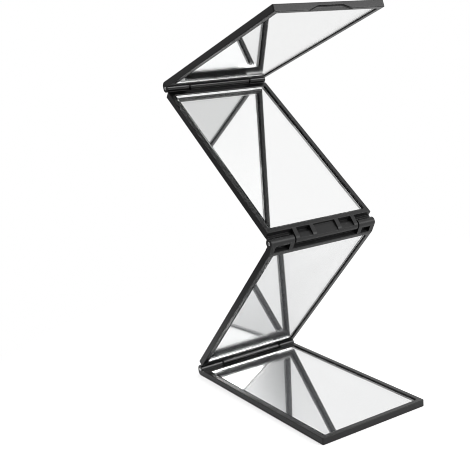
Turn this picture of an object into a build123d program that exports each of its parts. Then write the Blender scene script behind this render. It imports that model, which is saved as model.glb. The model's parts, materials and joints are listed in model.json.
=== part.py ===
from build123d import *
import os
from math import acos, atan2, cos, hypot, sin, sqrt

# Four framed mirrors in a strip, joined at their short ends by three pinned hinges and standing half
# unfolded. Sizes are in millimetres. X runs along the hinges, -Y points to the front and Z up. The origin
# is the centre of the underside of the base panel, which lies flat.

# Panels
panel_width = 80.0
panel_length = 136.5
panel_thickness = 4.5
corner_radius = 0.9
edge_round = 0.4
back_chamfer = 0.3

# Frame round the glass: flat rails with a small slope down to the glass
side_rim = 3.6
hinge_end_rim = 4.3
ear_end_rim = 3.5
lip_drop = 0.5
lip_slope = 0.65
window_corner = 0.8

# Glass and the adhesive sheet under it
glass_thickness = 2.0
glass_clearance = 0.15
glass_arris = 0.2
adhesive_thickness = 0.3
adhesive_margin = 2.0

# Hinges: the lower and upper ones fold glass to glass, the middle one folds back to back
closed_gap = 0.2
barrel_radius = 2.9
face_hinge_reach = 3.6
back_hinge_reach = 4.5
heel_radius = 3.2
left_knuckle = 17.1
right_knuckle = 12.9
knuckle_gap = 1.0
knuckle_chamfer = 0.25
root_depth = 1.0

# Moulded ears of the middle hinge: a barrel on ribs, with cored pockets between them
rib_thickness = 2.9
ear_wall = 3.2
cored_pocket = 10.0
ear_web = 1.3
ear_shoulder = 0.35
shallow_drop = 1.7
core_depth = 0.9
shallow_depth = 1.3
back_lip_clearance = 0.3

# Steel hinge pins, one from each side
pin_radius = 1.1
pin_running_clearance = 0.05
pin_proud = 0.3
pin_end_gap = 0.3
pin_chamfer = 0.3

# Thumb notch in the free end of the top panel
notch_mouth = 32.6
notch_floor = 18.4
notch_height = 2.55
notch_depth = 1.6
notch_bend = 5.0
notch_corner = 0.8

# How far each hinge is opened from folded flat, in degrees
lower_fold = 46.1
middle_fold = 82.1
upper_fold = 54.1

# How far a cutting shape runs past the face that it opens
overshoot = 1.0

# Places that follow from the sizes
left_side = -panel_width / 2
right_side = panel_width / 2
left_split = left_side + left_knuckle
right_split = right_side - right_knuckle
centre_left = left_split + knuckle_gap
centre_right = right_split - knuckle_gap
pin_bore_depth = cored_pocket + 2 * rib_thickness
axis_lift = closed_gap / 2
hinge_end = panel_length / 2
ear_end = -panel_length / 2
crest = barrel_radius - axis_lift
glass_front = panel_thickness - lip_drop
glass_back = glass_front - glass_thickness
floor_level = glass_back - adhesive_thickness
window_width = panel_width - 2 * side_rim
window_length = panel_length - hinge_end_rim - ear_end_rim
window_y = (ear_end_rim - hinge_end_rim) / 2
level_step = panel_thickness + closed_gap

# The folded stack, from the bottom: height of each back, and whether its mirror looks up or down
base = (0.0, 1)
lower = (level_step + panel_thickness, -1)
upper = (2 * level_step, 1)
top = (3 * level_step + panel_thickness, -1)

lower_axis = (hinge_end + face_hinge_reach, panel_thickness + axis_lift)
middle_axis = (ear_end - back_hinge_reach, 2 * level_step - axis_lift)
upper_axis = (hinge_end + face_hinge_reach, 2 * level_step + panel_thickness + axis_lift)


def height(panel, n):
    """Height in the folded stack of a level measured from the panel's back towards its mirror."""
    back, facing = panel
    return back + facing * n


def beyond_hinge_end(panel, reach, n):
    """(y, z) of a point beyond the end that folds glass to glass."""
    return (hinge_end + reach, height(panel, n))


def beyond_ear_end(panel, reach, n):
    """(y, z) of a point beyond the end that folds back to back."""
    return (ear_end - reach, height(panel, n))


def prism(outline, x_low, x_high):
    """Solid with a closed outline in the plane across the hinges, from one station to another."""
    return extrude(Plane.YZ.offset(x_low) * make_face(outline), x_high - x_low)


def chamfer_ends(solid, stations, width):
    """Chamfer the outline of a solid's end faces that lie at these stations along the hinges."""
    for station in stations:
        side = solid.faces().filter_by(Axis.X).sort_by(lambda f: abs(f.center().X - station))[0]
        solid = chamfer(side.edges(), width)
    return solid


def flat_at(solid, level):
    """Level face of a solid that lies nearest to a height."""
    return solid.faces().filter_by(Axis.Z).sort_by(lambda f: abs(f.center().Z - level))[0]


def window_block(panel, low, high, width, length, corner, growth=0.0):
    """Block over the glass window between two levels, whose mirror side may be wider by growth all round."""
    centre = Pos(0, window_y)
    bottom = Plane.XY.offset(height(panel, low)) * centre * RectangleRounded(width, length, corner)
    upper_size = (width + 2 * growth, length + 2 * growth)
    roof = Plane.XY.offset(height(panel, high)) * centre * RectangleRounded(*upper_size, corner + growth)
    return loft([bottom, roof])


def tray_block(panel, hinge_end_round, ear_end_round):
    """Plain plate of one panel, rounded round its mirror side and chamfered round its back."""
    middle = height(panel, panel_thickness / 2)
    plate = Pos(0, 0, middle) * Box(panel_width, panel_length, panel_thickness)
    posts = plate.edges().filter_by(Axis.Z).group_by(Axis.Y)
    if hinge_end_round:
        plate = fillet(posts[-1], corner_radius)
    posts = plate.edges().filter_by(Axis.Z).group_by(Axis.Y)
    if ear_end_round:
        plate = fillet(posts[0], corner_radius)
    plate = fillet(flat_at(plate, height(panel, panel_thickness)).edges(), edge_round)
    return chamfer(flat_at(plate, height(panel, 0)).edges(), back_chamfer)


def hollow(panel, plate):
    """Take the bed of the glass and the slope of the lip out of a panel."""
    window = (window_width, window_length, window_corner)
    bed = window_block(panel, floor_level, glass_front, *window)
    lip = window_block(panel, glass_front, panel_thickness, *window, lip_slope)
    return plate - bed - lip


def knuckle(panel, x_low, x_high):
    """Knuckle of a hinge that folds glass to glass: a barrel on a full-thickness arm with a rounded heel."""
    far = face_hinge_reach + barrel_radius
    near = face_hinge_reach - barrel_radius
    axis_level = panel_thickness + axis_lift
    heel_centre = far - heel_radius
    slant = heel_radius * sqrt(0.5)
    root_top = beyond_hinge_end(panel, -root_depth, panel_thickness)
    root_low = beyond_hinge_end(panel, -root_depth, 0)
    heel_start = beyond_hinge_end(panel, heel_centre, 0)
    heel_middle = beyond_hinge_end(panel, heel_centre + slant, heel_radius - slant)
    heel_stop = beyond_hinge_end(panel, far, heel_radius)
    barrel_far = beyond_hinge_end(panel, far, axis_level)
    barrel_top = beyond_hinge_end(panel, face_hinge_reach, axis_level + barrel_radius)
    barrel_near = beyond_hinge_end(panel, near, axis_level)
    valley = beyond_hinge_end(panel, near, panel_thickness)
    outline = [
        Polyline(valley, root_top, root_low, heel_start),
        ThreePointArc(heel_start, heel_middle, heel_stop),
        Line(heel_stop, barrel_far),
        ThreePointArc(barrel_far, barrel_top, barrel_near),
        Line(barrel_near, valley),
    ]
    return chamfer_ends(prism(outline, x_low, x_high), (x_low, x_high), knuckle_chamfer)


def round_axis(radius, level):
    """How far a circle round the back hinge's axis reaches to either side of the axis at a level."""
    return sqrt(radius**2 - (level + axis_lift) ** 2)


def ear_slice(panel, x_low, x_high, shoulder, far_level=None):
    """Slice of a back hinge's ear whose outer face slopes from a shoulder on the end wall to the barrel.

    The face runs out on the barrel, or cuts it where its far side is at far_level.
    """
    drop = shoulder + axis_lift
    toward = atan2(drop, -back_hinge_reach) - acos(barrel_radius / hypot(drop, back_hinge_reach))
    inner = back_hinge_reach - round_axis(barrel_radius, 0)
    if far_level is None:
        touch = (back_hinge_reach + barrel_radius * cos(toward), -axis_lift + barrel_radius * sin(toward))
    else:
        touch = (back_hinge_reach + round_axis(barrel_radius, far_level), far_level)
    on_barrel = beyond_ear_end(panel, *touch)
    on_wall = beyond_ear_end(panel, 0, shoulder)
    root_top = beyond_ear_end(panel, -root_depth, shoulder)
    root_low = beyond_ear_end(panel, -root_depth, 0)
    throat = beyond_ear_end(panel, inner, 0)
    under = beyond_ear_end(panel, back_hinge_reach, -axis_lift - barrel_radius)
    outline = [
        Polyline(on_barrel, on_wall, root_top, root_low, throat),
        ThreePointArc(throat, under, on_barrel),
    ]
    return prism(outline, x_low, x_high)


def cored_slice(panel, x_low, x_high, flat_level=None):
    """Slice of an ear across a cored pocket: the barrel on its web along the back, round or cut flat."""
    throat = beyond_ear_end(panel, back_hinge_reach - round_axis(barrel_radius, 0), 0)
    throat_high = beyond_ear_end(panel, back_hinge_reach - round_axis(barrel_radius, ear_web), ear_web)
    root_top = beyond_ear_end(panel, -root_depth, ear_web)
    root_low = beyond_ear_end(panel, -root_depth, 0)
    outline = [Polyline(throat_high, root_top, root_low, throat)]
    if flat_level is None:
        far = beyond_ear_end(panel, back_hinge_reach + barrel_radius, -axis_lift)
        outline.append(ThreePointArc(throat, far, throat_high))
    else:
        half_flat = round_axis(barrel_radius, flat_level)
        middle = (ear_web + flat_level) / 2
        flat_far = beyond_ear_end(panel, back_hinge_reach + half_flat, flat_level)
        flat_near = beyond_ear_end(panel, back_hinge_reach - half_flat, flat_level)
        under = beyond_ear_end(panel, back_hinge_reach, -axis_lift - barrel_radius)
        near = beyond_ear_end(panel, back_hinge_reach - round_axis(barrel_radius, middle), middle)
        outline.append(ThreePointArc(throat, under, flat_far))
        outline.append(Line(flat_far, flat_near))
        outline.append(ThreePointArc(flat_near, near, throat_high))
    return prism(outline, x_low, x_high)


def back_lip(panel, x_low, x_high):
    """Thin lip along the back that reaches from the end wall to the other panel's barrel."""
    radius = barrel_radius + back_lip_clearance
    tips = [
        beyond_ear_end(panel, back_hinge_reach - round_axis(radius, level), level)
        for level in (0, ear_web / 2, ear_web)
    ]
    root_top = beyond_ear_end(panel, -root_depth, ear_web)
    root_low = beyond_ear_end(panel, -root_depth, 0)
    return prism([ThreePointArc(*tips), Polyline(tips[2], root_top, root_low, tips[0])], x_low, x_high)


def ear(panel, stations):
    """Ear of slices along the hinge; each station gives the x where a slice starts, and its kind."""
    solid = Part()
    for (x_low, kind), (x_high, _) in zip(stations, stations[1:]):
        if kind == "rib":
            solid += ear_slice(panel, x_low, x_high, panel_thickness - ear_shoulder)
        elif kind == "shallow":
            solid += ear_slice(panel, x_low, x_high, panel_thickness - shallow_drop, crest - shallow_depth)
        elif kind == "flat":
            solid += cored_slice(panel, x_low, x_high, crest - core_depth)
        else:
            solid += cored_slice(panel, x_low, x_high)
    return solid


def centre_ear(panel):
    """Middle ear: four ribs, a cored pocket at each side and a shallow one between them."""
    inner_left = centre_left + pin_bore_depth
    inner_right = centre_right - pin_bore_depth
    return ear(panel, [
        (centre_left, "rib"),
        (centre_left + rib_thickness, "flat"),
        (inner_left - rib_thickness, "rib"),
        (inner_left, "shallow"),
        (inner_right, "rib"),
        (inner_right + rib_thickness, "flat"),
        (centre_right - rib_thickness, "rib"),
        (centre_right, "end"),
    ])


def outer_ears(panel):
    """Ears at the two sides of a panel, each with an outer wall, one cored pocket and an inner rib."""
    left = ear(panel, [
        (left_side, "rib"),
        (left_side + ear_wall, "cored"),
        (left_split - rib_thickness, "rib"),
        (left_split, "end"),
    ])
    right = ear(panel, [
        (right_split, "rib"),
        (right_split + rib_thickness, "cored"),
        (right_side - ear_wall, "rib"),
        (right_side, "end"),
    ])
    return left + right


def rod(axis, radius, x_low, x_high):
    """Round rod along a hinge axis given as (y, z)."""
    y, z = axis
    centre = Pos((x_low + x_high) / 2, y, z)
    return centre * Rot(0, 90, 0) * Cylinder(radius, x_high - x_low)


def outer_bores(axis):
    """Through bores of the two outer knuckles, which grip the pins."""
    left = rod(axis, pin_radius, left_side - overshoot, left_split + overshoot)
    right = rod(axis, pin_radius, right_split - overshoot, right_side + overshoot)
    return left + right


def centre_bores(axis):
    """Blind bores at both ends of the centre knuckle, in which the pins turn."""
    radius = pin_radius + pin_running_clearance
    left = rod(axis, radius, left_split, centre_left + pin_bore_depth)
    right = rod(axis, radius, centre_right - pin_bore_depth, right_split)
    return left + right


def pin(axis, x_low, x_high):
    """Plain steel pin with chamfered ends."""
    bar = rod(axis, pin_radius, x_low, x_high)
    return chamfer(bar.edges().filter_by(GeomType.CIRCLE), pin_chamfer)


def pins(axis):
    """Left and right pin of one hinge."""
    reach = pin_bore_depth - pin_end_gap
    left = pin(axis, left_side - pin_proud, centre_left + reach)
    right = pin(axis, centre_right - reach, right_side + pin_proud)
    return left, right


def thumb_notch(panel):
    """Scoop in the free end's wall, open to the mirror side."""
    low = height(panel, panel_thickness - notch_height)
    high = height(panel, panel_thickness + overshoot)
    slope = (notch_mouth - notch_floor) / 2 / notch_height
    mouth = notch_mouth / 2 + slope * overshoot
    floor_end = notch_floor / 2
    outline = Polyline((-mouth, high), (-floor_end, low), (floor_end, low), (mouth, high), close=True)
    face = make_face(outline)
    bends = face.vertices().group_by(lambda v: abs(v.Y - low))[0]
    face = fillet(bends, notch_bend)
    wall = Plane.XZ.offset(-(ear_end + notch_depth))
    scoop = extrude(wall * face, notch_depth + overshoot)
    inner = scoop.faces().filter_by(Axis.Y).sort_by(Axis.Y)[-1]
    open_edge = inner.edges().sort_by(lambda e: abs(e.center().Z - high))[0]
    return fillet([e for e in inner.edges() if e != open_edge], notch_corner)


def glass(panel):
    """Sheet of mirror glass with its front edges taken off."""
    size = (window_width - 2 * glass_clearance, window_length - 2 * glass_clearance)
    sheet = window_block(panel, glass_back, glass_front, *size, window_corner)
    return chamfer(flat_at(sheet, height(panel, glass_front)).edges(), glass_arris)


def adhesive(panel):
    """Double-sided adhesive sheet between the floor of the frame and the glass."""
    width = window_width - 2 * adhesive_margin
    length = window_length - 2 * adhesive_margin
    middle = height(panel, (floor_level + glass_back) / 2)
    return Pos(0, window_y, middle) * Box(width, length, adhesive_thickness)


def outer_panel(panel, axis, free_end_round):
    """Frame with the two outer knuckles of a hinge that folds glass to glass."""
    tray = tray_block(panel, False, free_end_round)
    tray += knuckle(panel, left_side, left_split) + knuckle(panel, right_split, right_side)
    return hollow(panel, tray) - outer_bores(axis)


def inner_panel(panel, axis):
    """Frame with the centre knuckle of a hinge that folds glass to glass."""
    tray = tray_block(panel, True, False)
    tray += knuckle(panel, centre_left, centre_right)
    return hollow(panel, tray) - centre_bores(axis)


def opened(solid, folds):
    """Turn a solid of the folded stack about each hinge that lies between it and the base, nearest first."""
    for axis, angle in folds:
        y, z = axis
        solid = solid.rotate(Axis((0, y, z), (1, 0, 0)), angle)
    return solid


lower_turn = (lower_axis, -lower_fold)
middle_turn = (middle_axis, middle_fold)
upper_turn = (upper_axis, -upper_fold)

base_tray = outer_panel(base, lower_axis, True)
lower_tray = inner_panel(lower, lower_axis) + outer_ears(lower) + back_lip(lower, left_split, right_split)
lower_tray -= outer_bores(middle_axis)
upper_tray = inner_panel(upper, upper_axis) + centre_ear(upper)
upper_tray += back_lip(upper, left_side + back_chamfer, centre_left)
upper_tray += back_lip(upper, centre_right, right_side - back_chamfer)
upper_tray -= centre_bores(middle_axis)
top_tray = outer_panel(top, upper_axis, True) - thumb_notch(top)

lower_left_pin, lower_right_pin = pins(lower_axis)
middle_left_pin, middle_right_pin = pins(middle_axis)
upper_left_pin, upper_right_pin = pins(upper_axis)

lower_path = [lower_turn]
upper_path = [middle_turn, lower_turn]
top_path = [upper_turn, middle_turn, lower_turn]

nodes = {
    "base_tray": (base_tray, []),
    "base_adhesive": (adhesive(base), []),
    "base_mirror": (glass(base), []),
    "lower_left_pin": (lower_left_pin, []),
    "lower_right_pin": (lower_right_pin, []),
    "lower_tray": (lower_tray, lower_path),
    "lower_adhesive": (adhesive(lower), lower_path),
    "lower_mirror": (glass(lower), lower_path),
    "middle_left_pin": (middle_left_pin, lower_path),
    "middle_right_pin": (middle_right_pin, lower_path),
    "upper_tray": (upper_tray, upper_path),
    "upper_adhesive": (adhesive(upper), upper_path),
    "upper_mirror": (glass(upper), upper_path),
    "top_tray": (top_tray, top_path),
    "top_adhesive": (adhesive(top), top_path),
    "top_mirror": (glass(top), top_path),
    "upper_left_pin": (upper_left_pin, top_path),
    "upper_right_pin": (upper_right_pin, top_path),
}

os.makedirs("parts", exist_ok=True)
for name, (solid, path) in nodes.items():
    export_step(opened(solid, path), f"parts/{name}.step")

# The hinge axes at rest, for whoever sets the joints
hinges = {"lower": (lower_axis, []), "middle": (middle_axis, lower_path), "upper": (upper_axis, upper_path)}
for name, (axis, path) in hinges.items():
    centre = opened(rod(axis, pin_radius, left_side, right_side), path).center()
    print(f"{name} hinge axis: y {centre.Y:.4f}, z {centre.Z:.4f}")
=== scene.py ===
import json
from math import cos, radians, sin

import bmesh
import bpy
from mathutils import Matrix, Vector


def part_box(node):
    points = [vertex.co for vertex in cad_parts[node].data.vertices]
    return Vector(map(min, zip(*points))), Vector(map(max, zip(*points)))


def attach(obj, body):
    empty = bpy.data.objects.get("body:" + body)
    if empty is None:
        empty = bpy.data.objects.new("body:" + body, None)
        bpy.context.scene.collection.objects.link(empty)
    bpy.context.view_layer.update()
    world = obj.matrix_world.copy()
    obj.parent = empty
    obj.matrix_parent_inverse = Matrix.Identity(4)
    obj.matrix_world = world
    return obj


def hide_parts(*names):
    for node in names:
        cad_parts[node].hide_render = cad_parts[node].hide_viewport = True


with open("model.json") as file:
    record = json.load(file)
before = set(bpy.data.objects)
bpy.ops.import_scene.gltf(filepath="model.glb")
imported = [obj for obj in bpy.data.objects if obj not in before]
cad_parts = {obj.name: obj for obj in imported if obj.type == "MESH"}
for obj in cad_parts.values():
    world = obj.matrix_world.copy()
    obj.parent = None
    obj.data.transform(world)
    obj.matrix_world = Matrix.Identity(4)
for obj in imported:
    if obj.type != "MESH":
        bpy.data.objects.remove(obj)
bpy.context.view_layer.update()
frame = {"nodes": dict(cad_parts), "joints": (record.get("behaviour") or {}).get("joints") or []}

# The looks of a folding mirror: textured black frames, silvered glass and steel hinge pins.
# Everything is in metres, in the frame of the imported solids.
# A side is a direction from the object, as azimuth and elevation in degrees: 0 is +Y and 90 is +X.

MM = 0.001
white = (1.0, 1.0, 1.0, 1.0)
scene = bpy.context.scene

# Camera of the photograph
camera_place = Vector((-0.31478, -0.43762, 0.23439))
camera_side = (213.539, 11.737)
camera_roll = -3.563
camera_lens = 66.445
camera_sensor = 36.0
camera_shift = (-0.0638, -0.0489)
camera_clip = 0.01

# Rendering
path_bounces = 40
glossy_bounces = 24
filter_width = 1.0

# Soft lamp, low over the camera's right shoulder
lamp_side = (147.0, 27.0)
lamp_distance = 0.95
lamp_target = Vector((0.0, 0.0, 0.06))
lamp_size = (0.34, 0.3)
lamp_power = 1.9

# Sky

# White, dimmer to the left and in front, with a soft glow round the lamp and a dark flag beside it.
# A dimming fades over a stretch of the direction's X or Y, and its level is the one at the low end.
sky_level = 0.96
sky_dimming = {
    "left_fade": (-0.2, 0.4),
    "left_level": 0.5,
    "front_fade": (-0.45, 0.05),
    "front_level": 0.7,
}
glow_fade = (10.0, 38.0)
glow_level = 0.96
flag_side = (125.0, 44.4)
flag_fade = (3.9, 6.9)
flag_level = 0.24

# Floor

# Near the object it takes shadows and has some light of its own. Further out it has only its own light.
floor_size = 12.0
floor_middle = (0.12, -0.12, 0.0)
floor_fade = (0.2, 0.42)
floor_colour = (0.85, 0.85, 0.85)
floor_level = 0.91
floor_dimming = {
    "left_fade": (-0.2, 0.02),
    "left_level": 0.2,
    "front_fade": (-1.0, -0.3),
    "front_level": 0.8,
}

# The floor's own light near the object, as the camera sees it and as the mirrors see it
seen_lift = 0.61
mirrored_lift = 0.35

# Textures

# Scales are in features a metre. Nearly all values of a noise lie in its range.
noise_range = (0.3, 0.7)
grain_noise = {"Scale": 2600.0, "Detail": 2.0, "Roughness": 0.6}
cloud_noise = {"Scale": 45.0, "Detail": 3.0, "Roughness": 0.55}
speck_noise = {"Scale": 900.0, "Detail": 3.0, "Roughness": 0.7}
wiping_noise = {"Scale": 14.0, "Detail": 3.0, "Distortion": 0.6}
hackle_noise = {"Scale": 700.0, "Detail": 2.0}
silver_noise = {"Scale": 30.0, "Detail": 2.0}
shade_and_edge_paint_noise = {"Scale": 500.0, "Detail": 2.0}
drawn_noise = {"Scale": 1200.0, "Detail": 3.0}
cell_scale = 2500.0

# Plastic
plastic_black = (0.006, 0.006, 0.0064)
plastic_tone = (0.85, 1.15)
plastic_roughness = (0.28, 0.36)
plastic_specular = 0.46
grain_depth = 0.05 * MM
grain_strength = 0.3
speck_range = (0.62, 0.8)
speck_tone = 0.5

# Polish, which takes roughness away: full on the barrels, less on the worn edges
polish_drop = 0.18
edge_wear = 0.4

# Worn edges of the plastic, found where a bevelled normal leaves the flat one
edge_radius = 0.3 * MM
edge_samples = 6
edge_likeness = (0.995, 0.85)

# Barrels of the hinges that fold glass to glass, polished and with less grain
barrel_hinges = ("lower_hinge", "upper_hinge")
barrel_size = 3.0 * MM
barrel_blend = 0.3 * MM
barrel_grain_strength = 0.08

# Ears of the hinge that folds back to back, rougher than the rest
ear_hinges = ("middle_hinge",)
ear_size = 8.0 * MM
ear_blend = 1.0 * MM
ear_rise = 0.12

# Glass, lifted off its adhesive sheet, and a little narrower than its opening
glass_index = 1.52
glass_arris = 0.2 * MM
glass_corner = 0.8 * MM
corner_steps = 6
glass_lift = 0.03 * MM
side_gap = 0.65 * MM
cut_roughness = 0.08
hackle_depth = 0.1 * MM
hackle_strength = {"base": 0.1, "lower": 0.1, "upper": 0.02, "top": 0.5}

# Film of dust on the glass, wiped off beside the long edges
haze_colour = (0.88, 0.9, 0.94)
haze_share = {"base": 0.07, "lower": 0.07, "upper": 0.008, "top": 0.008}
haze_spread = (0.8, 1.2)
clean_margin = 1.8 * MM
clean_blend = 0.4 * MM

# Silver, and a near-black coat: painted shade on the silver's bare side margins, and a dark coat up the
# cut edge
# Width of the near-black side margins of the silver: painted shade for the dark groove beside the frame
painted_shade_margin = 0.2 * MM
silver_tints = ((0.975, 0.978, 0.977), (0.983, 0.986, 0.985))
shade_and_edge_paint_tints = ((0.004, 0.004, 0.0045), (0.008, 0.008, 0.0085))
shade_and_edge_paint_roughness = 0.6
paint_height = {"base": 1.05 * MM, "lower": 1.05 * MM, "upper": 0.25 * MM, "top": 0.15 * MM}

# Steel, drawn along X
steel_tints = ((0.6, 0.6, 0.61), (0.78, 0.78, 0.79))
steel_roughness = (0.16, 0.3)
drawn_stretch = (0.05, 1.0, 1.0)
drawn_depth = 0.01 * MM
drawn_strength = 0.2

# Adhesive tape
tape_tints = ((0.78, 0.77, 0.73), (0.68, 0.67, 0.63))
tape_roughness = 0.75
cell_depth = 0.05 * MM
cell_strength = 0.3

# Material slots of a glass sheet, in their order
front_slot, silver_slot, cut_slot, shade_and_edge_paint_slot = range(4)


# Node helpers

def feed(tree, socket, value):
    """Link an input to another node's output, or set its value."""
    if isinstance(value, bpy.types.NodeSocket):
        tree.links.new(value, socket)
    else:
        socket.default_value = value


def node(tree, kind, settings=None, **inputs):
    """Add a shader node, set its properties and feed its inputs by name, with _ for each space."""
    made = tree.nodes.new("ShaderNode" + kind)
    for name, value in (settings or {}).items():
        setattr(made, name, value)
    for name, value in inputs.items():
        feed(tree, made.inputs[name.replace("_", " ")], value)
    return made


def maths(tree, operation, first, second=0.0):
    """Result of a math node."""
    made = node(tree, "Math", {"operation": operation})
    feed(tree, made.inputs[0], first)
    feed(tree, made.inputs[1], second)
    return made.outputs[0]


def vector_maths(tree, operation, first, second):
    """Outputs of a vector math node, named Vector and Value."""
    made = node(tree, "VectorMath", {"operation": operation})
    feed(tree, made.inputs[0], first)
    feed(tree, made.inputs[1], second)
    return made.outputs


def scaled(tree, value, old, new):
    """Map a value from one range to another, held at the ends."""
    ends = {"From Min": old[0], "From Max": old[1], "To Min": new[0], "To Max": new[1]}
    return node(tree, "MapRange", {"clamp": True}, Value=value, **ends).outputs[0]


def noise(tree, place, settings):
    """Value of a noise texture."""
    return node(tree, "TexNoise", Vector=place, **settings).outputs["Fac"]


def two_tints(tree, value, tints):
    """Colour that goes from one tint to another as a value goes from 0 to 1."""
    made = node(tree, "ValToRGB", Fac=value)
    for stop, tint in zip(made.color_ramp.elements, tints):
        stop.color = (*tint, 1.0)
    return made.outputs["Color"]


def bumped(tree, height, strength, depth, **normal):
    """Normal roughened by a height, starting from another Normal if one is given."""
    return node(tree, "Bump", Height=height, Strength=strength, Distance=depth, **normal).outputs["Normal"]


def mixed(tree, share, first, second):
    """Shader with a share of the second and the rest of the first."""
    made = node(tree, "MixShader", Fac=share)
    feed(tree, made.inputs[1], first)
    feed(tree, made.inputs[2], second)
    return made.outputs[0]


def new_material(name):
    """Empty node material, its tree, and the place on the object as a texture coordinate."""
    material = bpy.data.materials.new(name)
    material.use_nodes = True
    tree = material.node_tree
    tree.nodes.clear()
    return material, tree, node(tree, "TexCoord").outputs["Object"]


def finished(material, shader):
    """The material, with a shader wired to its output."""
    node(material.node_tree, "OutputMaterial", Surface=shader)
    return material


# Materials

def near_hinge(tree, place, names, size, blend):
    """1 up to a distance from the axes of some hinges, 0 elsewhere."""
    across = vector_maths(tree, "MULTIPLY", place, (0, 1, 1))["Vector"]
    nearest = None
    for joint in frame["joints"]:
        if joint["name"] not in names:
            continue
        axis = (0, *joint["pos_m"][1:])
        gap = vector_maths(tree, "DISTANCE", across, axis)["Value"]
        nearest = gap if nearest is None else maths(tree, "MINIMUM", nearest, gap)
    return scaled(tree, nearest, (size, size + blend), (1.0, 0.0))


def frame_plastic():
    """Satin black moulded plastic with a fine texture, smoother on barrels and edges, rougher on ears."""
    material, tree, place = new_material("frame_plastic")
    grain = noise(tree, place, grain_noise)
    cloud = noise(tree, place, cloud_noise)
    specks = scaled(tree, noise(tree, place, speck_noise), speck_range, (0.0, 1.0))
    barrel = near_hinge(tree, place, barrel_hinges, barrel_size, barrel_blend)
    ears = near_hinge(tree, place, ear_hinges, ear_size, ear_blend)

    rounded = node(tree, "Bevel", {"samples": edge_samples}, Radius=edge_radius).outputs["Normal"]
    flat = node(tree, "NewGeometry").outputs["True Normal"]
    likeness = vector_maths(tree, "DOT_PRODUCT", rounded, flat)["Value"]
    edge = scaled(tree, likeness, edge_likeness, (0.0, 1.0))
    relief = scaled(tree, barrel, (0.0, 1.0), (grain_strength, barrel_grain_strength))
    normal = bumped(tree, grain, relief, grain_depth, Normal=rounded)

    satin = scaled(tree, cloud, noise_range, plastic_roughness)
    worn = maths(tree, "MAXIMUM", barrel, maths(tree, "MULTIPLY", edge, edge_wear))
    smooth = maths(tree, "SUBTRACT", satin, maths(tree, "MULTIPLY", worn, polish_drop))
    roughness = maths(tree, "ADD", smooth, maths(tree, "MULTIPLY", ears, ear_rise))

    clouded = scaled(tree, cloud, noise_range, plastic_tone)
    tone = maths(tree, "ADD", clouded, maths(tree, "MULTIPLY", specks, speck_tone))
    black = node(tree, "VectorMath", {"operation": "SCALE"}, Vector=plastic_black, Scale=tone)
    shader = node(
        tree,
        "BsdfPrincipled",
        Base_Color=black.outputs["Vector"],
        Roughness=roughness,
        Normal=normal,
        Specular_IOR_Level=plastic_specular,
    )
    return finished(material, shader.outputs[0])


def clear_glass(tree, roughness, **normal):
    """Shader of clear glass, with a Normal of its own if one is given."""
    shader = node(
        tree,
        "BsdfPrincipled",
        Base_Color=white,
        Roughness=roughness,
        IOR=glass_index,
        Transmission_Weight=1.0,
        **normal,
    )
    return shader.outputs[0]


def glass_front(name, haze):
    """Clear front of the glass under a thin uneven film of dust, which stops short of the long edges."""
    material, tree, place = new_material(name)
    dust = node(tree, "BsdfDiffuse", Color=(*haze_colour, 1.0)).outputs[0]
    wiped = noise(tree, place, wiping_noise)
    film = scaled(tree, wiped, noise_range, [share * haze for share in haze_spread])
    across = maths(tree, "ABSOLUTE", node(tree, "SeparateXYZ", Vector=place).outputs["X"])
    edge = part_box("base_mirror")[1].x - clean_margin
    inside = scaled(tree, across, (edge - clean_blend, edge), (1.0, 0.0))
    share = maths(tree, "MULTIPLY", film, inside)
    return finished(material, mixed(tree, share, clear_glass(tree, 0.0), dust))


def glass_cut(name, strength):
    """Cut edge of the glass, with hackle marks where the cutter broke it."""
    material, tree, place = new_material(name)
    marks = noise(tree, place, hackle_noise)
    normal = bumped(tree, marks, strength, hackle_depth)
    return finished(material, clear_glass(tree, cut_roughness, Normal=normal))


def silver():
    """Silvered back of the glass, seen through it."""
    material, tree, place = new_material("glass_silver")
    tint = two_tints(tree, noise(tree, place, silver_noise), silver_tints)
    shader = node(tree, "BsdfPrincipled", Base_Color=tint, Metallic=1.0, Roughness=0.0)
    return finished(material, shader.outputs[0])


def shade_and_edge_paint_finish():
    """Near-black coat: painted shade on the silver's bare side margins, and a dark coat up the foot of the
    cut edge.
    """
    material, tree, place = new_material("glass_shade_and_edge_paint")
    tint = two_tints(tree, noise(tree, place, shade_and_edge_paint_noise), shade_and_edge_paint_tints)
    shader = node(tree, "BsdfPrincipled", Base_Color=tint, Roughness=shade_and_edge_paint_roughness)
    return finished(material, shader.outputs[0])


def steel():
    """Bright drawn steel with fine lines along the pin."""
    material, tree, place = new_material("pin_steel")
    stretched = node(tree, "Mapping", Vector=place, Scale=drawn_stretch).outputs["Vector"]
    lines = noise(tree, stretched, drawn_noise)
    tint = two_tints(tree, lines, steel_tints)
    roughness = scaled(tree, lines, noise_range, steel_roughness)
    normal = bumped(tree, lines, drawn_strength, drawn_depth)
    metal = {"Metallic": 1.0, "Roughness": roughness, "Normal": normal}
    shader = node(tree, "BsdfPrincipled", Base_Color=tint, **metal)
    return finished(material, shader.outputs[0])


def foam_tape():
    """White double-sided tape with the fine cells of its foam."""
    material, tree, place = new_material("adhesive_tape")
    cells = node(tree, "TexVoronoi", Vector=place, Scale=cell_scale).outputs["Distance"]
    tint = two_tints(tree, cells, tape_tints)
    normal = bumped(tree, cells, cell_strength, cell_depth)
    shader = node(tree, "BsdfPrincipled", Base_Color=tint, Roughness=tape_roughness, Normal=normal)
    return finished(material, shader.outputs[0])


def wear(piece, material):
    """Give a piece one material."""
    piece.data.materials.clear()
    piece.data.materials.append(material)


# Where each panel is

def turn_about(y, z, angle):
    """Turn by an angle in degrees about a hinge axis along X."""
    centre = Matrix.Translation((0, y, z))
    return centre @ Matrix.Rotation(radians(angle), 4, "X") @ centre.inverted()


def half_turn(y):
    """Half turn about the upright line through the middle of a hinge, to lay the next panel in line."""
    centre = Matrix.Translation((0, y, 0))
    return centre @ Matrix.Rotation(radians(180), 4, "Z") @ centre.inverted()


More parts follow.
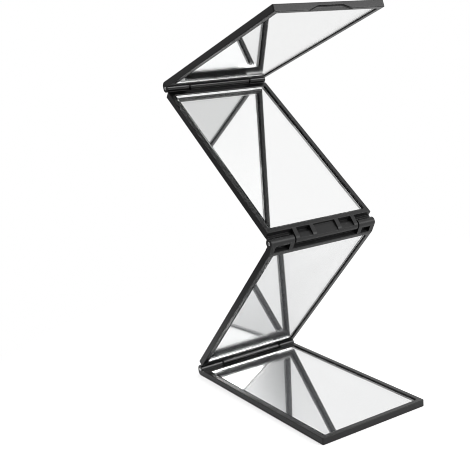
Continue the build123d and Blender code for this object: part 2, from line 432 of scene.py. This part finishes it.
def panel_places():
    """Matrices that take the base panel's own geometry to each panel at rest."""
    joints = {joint["name"]: joint for joint in frame["joints"]}
    face_y, face_z = joints["lower_hinge"]["pos_m"][1:]
    opened = {name: joint["range_deg"][1] for name, joint in joints.items()}
    lower = turn_about(face_y, face_z, opened["lower_hinge"]) @ half_turn(face_y)
    _, back_y, back_z = lower.inverted() @ Vector(joints["middle_hinge"]["pos_m"])
    upper = lower @ turn_about(back_y, back_z, opened["middle_hinge"]) @ half_turn(back_y)
    top = upper @ turn_about(face_y, face_z, opened["upper_hinge"]) @ half_turn(face_y)
    return {"base": Matrix.Identity(4), "lower": lower, "upper": upper, "top": top}


# Glass

def rounded_rectangle(low, high, inset, z):
    """Points of the glass's outline, inset by a distance, going round once."""
    radius = glass_corner - inset
    left, right = low.x + glass_corner, high.x - glass_corner
    front, back = low.y + glass_corner, high.y - glass_corner
    points = []
    for x, y, start in ((right, back, 0), (left, back, 90), (left, front, 180), (right, front, 270)):
        for step in range(corner_steps + 1):
            angle = radians(start + 90 * step / corner_steps)
            points.append(Vector((x + radius * cos(angle), y + radius * sin(angle), z)))
    return points


def paint_shade_margins(mesh, back, edges):
    """Split the silvered back at the silver's long edges, and make the strips outside near-black painted
    shade.
    """
    for edge in edges:
        split = [back, *back.edges, *back.verts]
        bmesh.ops.bisect_plane(mesh, geom=split, plane_co=(edge, 0, 0), plane_no=(1, 0, 0))
        silvered = [face for face in mesh.faces if face.material_index == silver_slot]
        back = max(silvered, key=lambda face: face.calc_area())
    for face in silvered:
        if face is not back:
            face.material_index = shade_and_edge_paint_slot


def glass_sheet(name, place, painted, materials):
    """Sheet of mirror glass: clear front, fine arris, cut edges painted up to a height, silvered back."""
    low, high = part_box("base_mirror")
    low = low + Vector((side_gap, 0, 0))
    high = high - Vector((side_gap, 0, 0))
    levels = [
        (0.0, low.z + glass_lift),
        (0.0, low.z + painted),
        (0.0, high.z - glass_arris),
        (glass_arris, high.z),
    ]
    mesh = bmesh.new()
    rings = []
    for inset, z in levels:
        outline = rounded_rectangle(low, high, inset, z)
        rings.append([mesh.verts.new(place @ point) for point in outline])
    back = mesh.faces.new(list(reversed(rings[0])))
    back.material_index = silver_slot
    for slot, below, above in zip((shade_and_edge_paint_slot, cut_slot, cut_slot), rings, rings[1:]):
        for k in range(len(below)):
            following = (k + 1) % len(below)
            side = mesh.faces.new((below[k], below[following], above[following], above[k]))
            side.material_index = slot
    front = mesh.faces.new(rings[-1])
    front.material_index = front_slot
    # Near-black painted shade on the silver's side margins, for the dark groove beside the frame
    paint_shade_margins(mesh, back, (low.x + painted_shade_margin, high.x - painted_shade_margin))
    mesh.normal_update()
    data = bpy.data.meshes.new(name)
    mesh.to_mesh(data)
    mesh.free()
    for material in materials:
        data.materials.append(material)
    piece = bpy.data.objects.new(name, data)
    scene.collection.objects.link(piece)
    return piece


# Stage

def direction(azimuth, elevation):
    """Unit vector towards a side."""
    azimuth, elevation = radians(azimuth), radians(elevation)
    return Vector((sin(azimuth) * cos(elevation), cos(azimuth) * cos(elevation), sin(elevation)))


def dimmed(tree, vector, full, left_fade, left_level, front_fade, front_level):
    """Level of the surroundings, dimmer to the left and in front."""
    parts = node(tree, "SeparateXYZ", Vector=vector).outputs
    left = scaled(tree, parts["X"], left_fade, (left_level, 1.0))
    front = scaled(tree, parts["Y"], front_fade, (front_level, 1.0))
    return maths(tree, "MULTIPLY", maths(tree, "MULTIPLY", left, front), full)


def white_to_camera(tree, level):
    """The level for every ray but the camera's own, which sees plain white."""
    return maths(tree, "MAXIMUM", level, node(tree, "LightPath").outputs["Is Camera Ray"])


def patch(tree, way, side, fade, inner, outer):
    """Soft round patch of the sky, one level inside and another outside, fading between two angles."""
    cosine = vector_maths(tree, "DOT_PRODUCT", way, direction(*side))["Value"]
    angle = maths(tree, "ARCCOSINE", cosine)
    return scaled(tree, angle, [radians(end) for end in fade], (inner, outer))


def surroundings():
    """White sky, dimmer to the left and in front, with a glow and a dark flag."""
    world = bpy.data.worlds.new("white_tent")
    world.use_nodes = True
    tree = world.node_tree
    tree.nodes.clear()
    way = node(tree, "TexCoord").outputs["Generated"]
    level = dimmed(tree, way, sky_level, **sky_dimming)
    level = maths(tree, "ADD", level, patch(tree, way, lamp_side, glow_fade, glow_level, 0.0))
    level = maths(tree, "MULTIPLY", level, patch(tree, way, flag_side, flag_fade, flag_level, 1.0))
    light = node(tree, "Background", Color=white, Strength=white_to_camera(tree, level))
    node(tree, "OutputWorld", Surface=light.outputs[0])
    scene.world = world


def floor_finish():
    """Pale finish that keeps the shadow near the object and fades into the white background."""
    material, tree, place = new_material("floor_white")
    level = dimmed(tree, place, floor_level, **floor_dimming)
    path = node(tree, "LightPath").outputs
    mirrored = maths(tree, "MAXIMUM", path["Is Glossy Ray"], path["Is Transmission Ray"])
    reflected = maths(tree, "MULTIPLY", maths(tree, "MULTIPLY", mirrored, mirrored_lift), level)
    seen = maths(tree, "MULTIPLY", path["Is Camera Ray"], seen_lift)
    matt = node(tree, "BsdfDiffuse", Color=(*floor_colour, 1.0))
    lift = node(tree, "Emission", Strength=maths(tree, "ADD", seen, reflected))
    near = node(tree, "AddShader")
    feed(tree, near.inputs[0], matt.outputs[0])
    feed(tree, near.inputs[1], lift.outputs[0])
    far = node(tree, "Emission", Strength=white_to_camera(tree, level))
    distance = vector_maths(tree, "DISTANCE", place, floor_middle)["Value"]
    outside = scaled(tree, distance, floor_fade, (0.0, 1.0))
    return finished(material, mixed(tree, outside, near.outputs[0], far.outputs[0]))


def white_floor():
    """Square floor, far larger than the view."""
    half = floor_size / 2
    data = bpy.data.meshes.new("floor")
    corners = [(-half, -half, 0), (half, -half, 0), (half, half, 0), (-half, half, 0)]
    data.from_pydata(corners, [], [(0, 1, 2, 3)])
    data.materials.append(floor_finish())
    floor = bpy.data.objects.new("floor", data)
    scene.collection.objects.link(floor)


def soft_box():
    """Soft area lamp, aimed at the object."""
    data = bpy.data.lights.new("key_light", "AREA")
    data.shape = "RECTANGLE"
    data.size, data.size_y = lamp_size
    data.energy = lamp_power
    lamp = bpy.data.objects.new("key_light", data)
    towards = direction(*lamp_side)
    lamp.location = lamp_target + lamp_distance * towards
    lamp.rotation_mode = "QUATERNION"
    lamp.rotation_quaternion = (-towards).to_track_quat("-Z", "Y")
    scene.collection.objects.link(lamp)


def camera():
    """Camera at the photograph's place and angle."""
    data = bpy.data.cameras.new("camera")
    data.sensor_width = camera_sensor
    data.lens = camera_lens
    data.shift_x, data.shift_y = camera_shift
    data.clip_start = camera_clip
    made = bpy.data.objects.new("camera", data)
    made.location = camera_place
    made.rotation_mode = "QUATERNION"
    upright = (-direction(*camera_side)).to_track_quat("-Z", "Y")
    roll = Matrix.Rotation(radians(camera_roll), 3, "Z").to_quaternion()
    made.rotation_quaternion = upright @ roll
    scene.collection.objects.link(made)
    scene.camera = made


# Build

camera()
surroundings()
white_floor()
soft_box()
scene.view_settings.view_transform = "Standard"
scene.cycles.max_bounces = path_bounces
scene.cycles.transmission_bounces = path_bounces
scene.cycles.glossy_bounces = glossy_bounces
scene.cycles.filter_width = filter_width

finishes = {"tray": frame_plastic(), "pin": steel(), "adhesive": foam_tape()}
for name, piece in frame["nodes"].items():
    kind = name.split("_")[-1]
    if kind in finishes:
        wear(piece, finishes[kind])

mirror_silver = silver()
# Near-black coat: painted shade on the silver's side margins, and a dark coat up the cut edge
shade_and_edge_paint = shade_and_edge_paint_finish()
for panel, place in panel_places().items():
    front = glass_front(panel + "_glass_front", haze_share[panel])
    cut = glass_cut(panel + "_glass_edge", hackle_strength[panel])
    materials = [front, mirror_silver, cut, shade_and_edge_paint]
    sheet = glass_sheet(panel + "_glass", place, paint_height[panel], materials)
    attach(sheet, panel + "_panel")
    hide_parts(panel + "_mirror")
